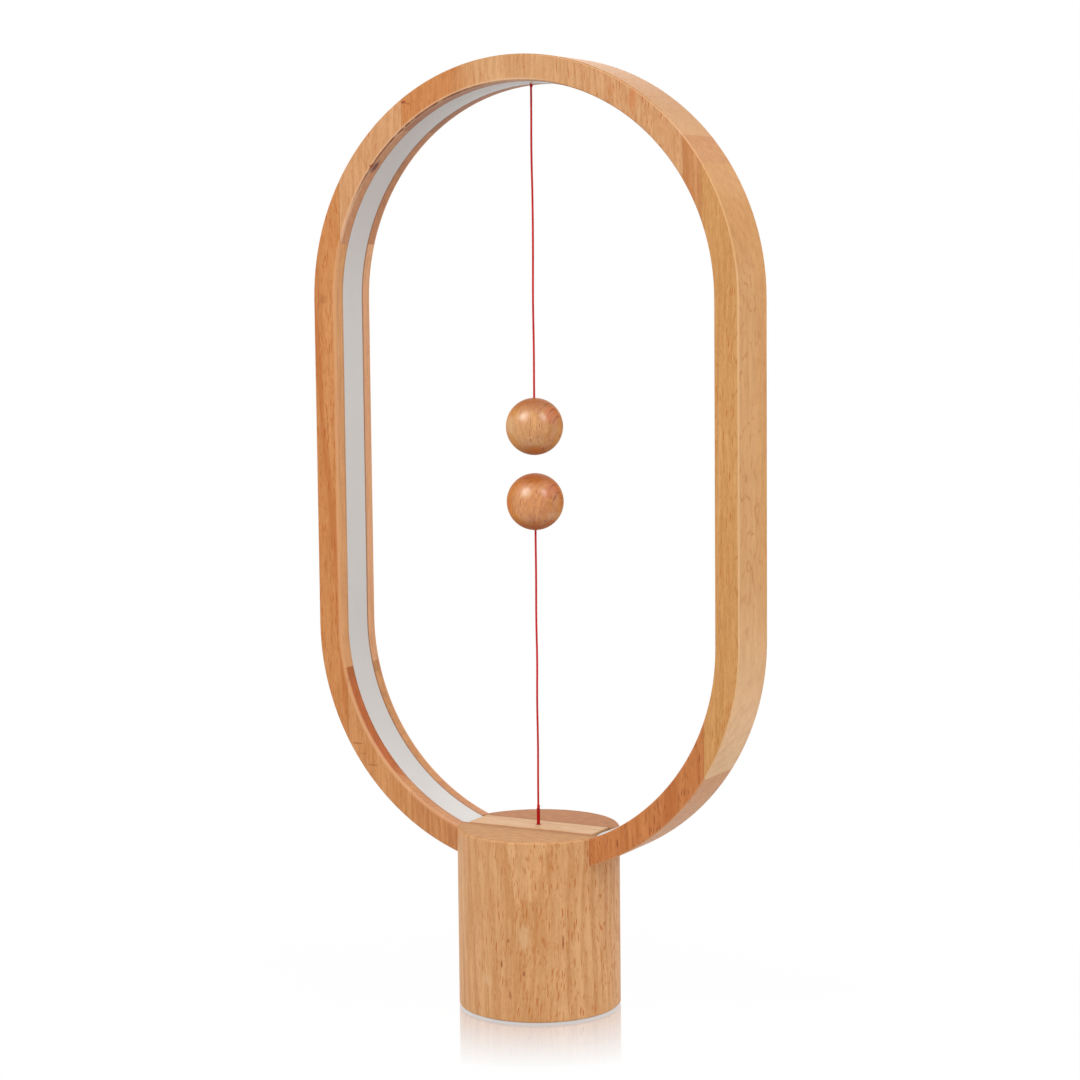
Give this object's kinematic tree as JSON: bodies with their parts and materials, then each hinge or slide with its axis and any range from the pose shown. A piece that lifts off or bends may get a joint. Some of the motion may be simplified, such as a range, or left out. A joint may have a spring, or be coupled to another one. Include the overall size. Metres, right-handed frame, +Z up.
{
  "type": "balance lamp",
  "caption": "Upright oval wooden ring with a light diffuser in its inner face, on a round wooden base; two wooden balls on strings meet in its middle and work the switch",
  "frame": {"origin": "centre of the base's foot, on the table", "axes": "+Z up, +X along the plane of the ring, -Y towards the front"},
  "size_m": [0.2, 0.069, 0.4],
  "materials": {
    "ring_wood": "oiled beech, satin",
    "base_wood": "turned beech, satin",
    "strip_wood": "beech with a satin lacquer",
    "ball_wood": "turned and polished beech, satin",
    "plug_wood": "beech dowel, satin",
    "diffuser_plastic": "milky, matte",
    "circuit_film": "white solder mask, matte",
    "light_chip": "phosphor gel, matte",
    "cover_plastic": "fine texture, matte",
    "foot_foam": "closed-cell foam, matte",
    "screw_steel": "zinc-plated",
    "board_laminate": "solder mask, satin",
    "component_black": "moulded, satin",
    "switch_case": "moulded, matte",
    "switch_button": "moulded, gloss",
    "lever_steel": "spring steel strip",
    "inlet_plastic": "moulded, matte",
    "inlet_steel": "nickel-plated",
    "lead_insulation": "smooth, matte",
    "bush_plastic": "acetal, satin",
    "slider_plastic": "acetal, satin",
    "spring_steel": "music wire",
    "red_sleeve": "thin tubing, satin",
    "red_string": "braided polyester",
    "anchor_plastic": "moulded, matte",
    "magnet_nickel": "nickel-plated"
  },
  "bodies": {
    "root": {"ring_bottom_left": "ring_wood", "ring_bottom_middle": "ring_wood", "ring_bottom_right": "ring_wood", "ring_left_side": "ring_wood", "ring_right_shoulder": "ring_wood", "ring_right_side": "ring_wood", "ring_top_left": "ring_wood", "ring_top_middle": "ring_wood", "ring_top_right": "ring_wood", "base_body": "base_wood", "base_cover": "cover_plastic", "board_components": "component_black", "board_screws": "screw_steel", "cover_screws": "screw_steel", "diffuser": "diffuser_plastic", "driver_board": "board_laminate", "foot_pad": "foot_foam", "front_infill": "base_wood", "guide_bush": "bush_plastic", "inlet_insert": "inlet_plastic", "inlet_leads": "lead_insulation", "inlet_shell": "inlet_steel", "inlet_tongue": "inlet_plastic", "led_chips": "light_chip", "led_strip": "circuit_film", "light_leads": "lead_insulation", "microswitch": "switch_case", "rear_infill": "base_wood", "return_spring": "spring_steel", "string_strip": "strip_wood", "upper_string_anchor": "anchor_plastic"},
    "slider": {"pull_slider": "slider_plastic", "lower_string_sleeve": "red_sleeve"},
    "lever": {"switch_lever": "lever_steel"},
    "button": {"switch_button": "switch_button"},
    "upper_swivel": {"upper_knot": "red_string"},
    "upper_pendulum": {"upper_string": "red_string", "upper_ball": "ball_wood", "upper_magnet": "magnet_nickel", "upper_ball_plug": "plug_wood"},
    "lower_swivel": {"lower_knot": "red_string"},
    "lower_pendulum": {"lower_string": "red_string", "lower_ball": "ball_wood", "lower_magnet": "magnet_nickel", "lower_ball_plug": "plug_wood"}
  },
  "joints": [
    {"name": "slider_pull", "type": "slide", "parent": "root", "child": "slider", "axis": [0, 0, 1], "range_m": [-0.003, 0], "stiffness_N_per_m": 100, "springref_m": 0.003, "deforming": ["return_spring"]},
    {"name": "lever_swing", "type": "hinge", "parent": "root", "child": "lever", "pos_m": [0.0158, 0, 0.031], "axis": [0, 1, 0], "range_deg": [-10.4, 0]},
    {"name": "button_press", "type": "slide", "parent": "root", "child": "button", "axis": [0, 0, 1], "range_m": [-0.00095, 0]},
    {"name": "upper_swing_front", "type": "hinge", "parent": "root", "child": "upper_swivel", "pos_m": [0, 0, 0.38789], "axis": [1, 0, 0], "range_deg": [-80, 80]},
    {"name": "upper_swing_side", "type": "hinge", "parent": "upper_swivel", "child": "upper_pendulum", "pos_m": [0, 0, 0.38789], "axis": [0, 1, 0], "range_deg": [-32, 32]},
    {"name": "lower_swing_front", "type": "hinge", "parent": "slider", "child": "lower_swivel", "pos_m": [0, 0, 0.08521], "axis": [1, 0, 0], "range_deg": [-95, 95], "stiffness_Nm_per_rad": 0.04},
    {"name": "lower_swing_side", "type": "hinge", "parent": "lower_swivel", "child": "lower_pendulum", "pos_m": [0, 0, 0.08521], "axis": [0, 1, 0], "range_deg": [-35, 35], "stiffness_Nm_per_rad": 0.04}
  ],
  "couplings": [
    {"joint": "lever_swing", "follows": "slider_pull", "rad_per_m": 56.5},
    {"joint": "button_press", "follows": "slider_pull", "ratio": 0.3}
  ]
}
